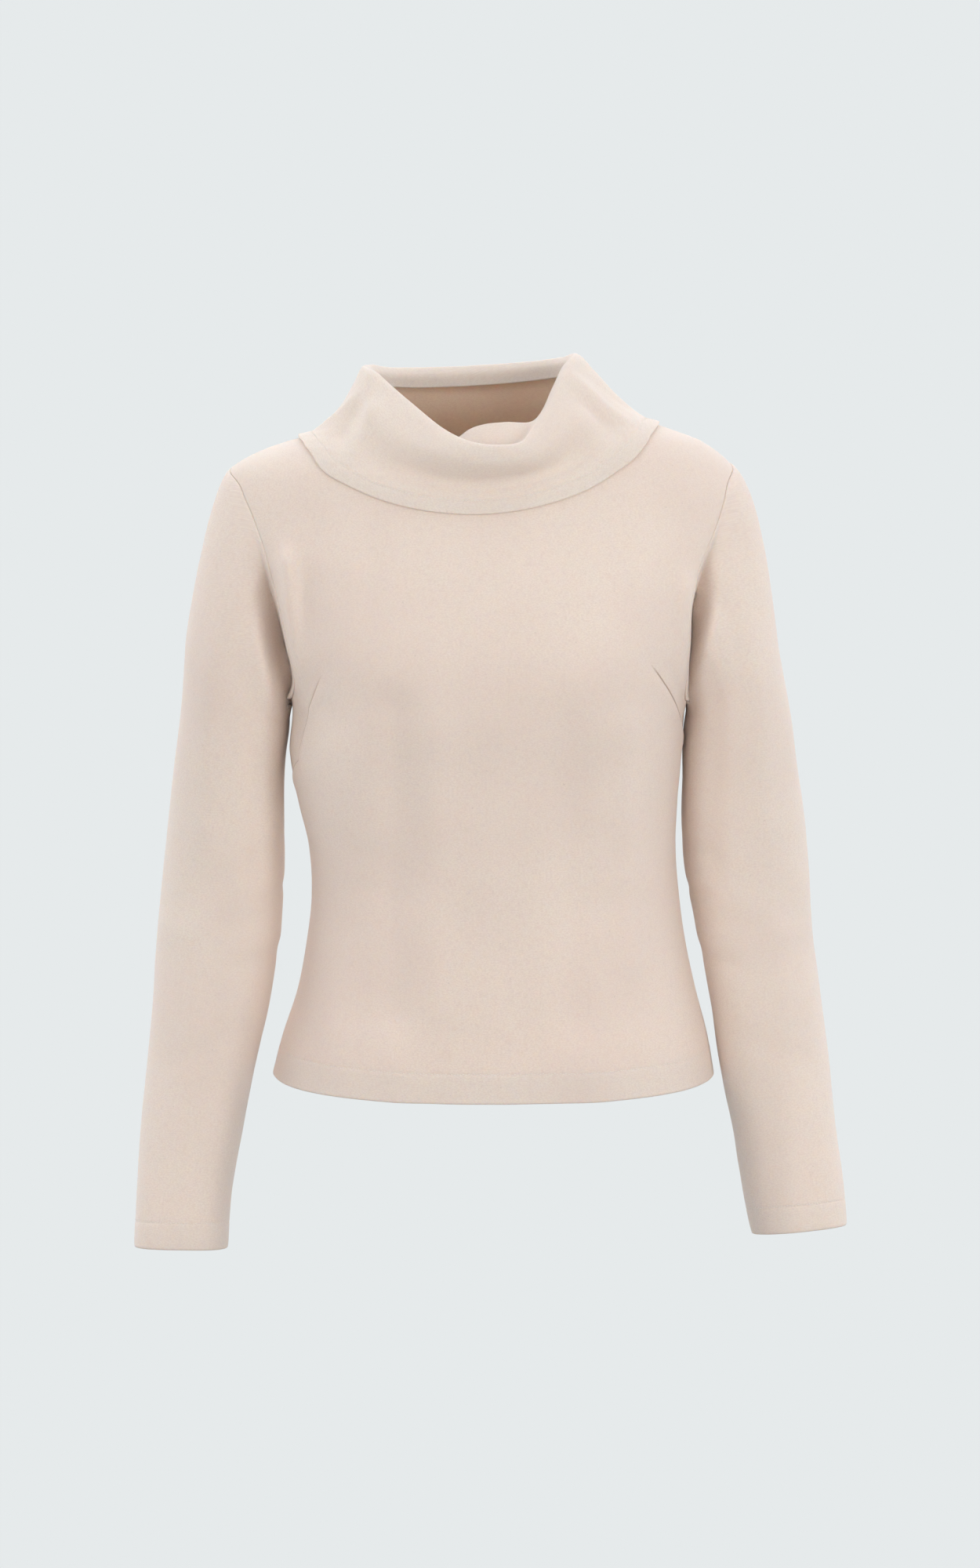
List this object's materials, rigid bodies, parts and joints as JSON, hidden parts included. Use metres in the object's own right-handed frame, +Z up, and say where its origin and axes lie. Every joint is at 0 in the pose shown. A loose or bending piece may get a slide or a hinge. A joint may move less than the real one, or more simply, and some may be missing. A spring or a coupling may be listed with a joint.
{
  "type": "blouse",
  "caption": "Long-sleeved pullover blouse in smooth cream knit, with a wide stand-away collar that droops at the front, held in the hollow form it has when worn.",
  "frame": {"origin": "midway between the two shoulders, on the shoulder line where the wearer carries it", "axes": "+Z up from hem to collar, front faces -Y, +X towards the wearer's left sleeve"},
  "size_m": [0.5667, 0.2391, 0.7108],
  "materials": {
    "cloth": "matt wool jersey"
  },
  "bodies": {
    "root": {"front": "cloth", "back": "cloth", "sleeve_left": "cloth", "sleeve_right": "cloth", "collar": "cloth"}
  },
  "joints": []
}
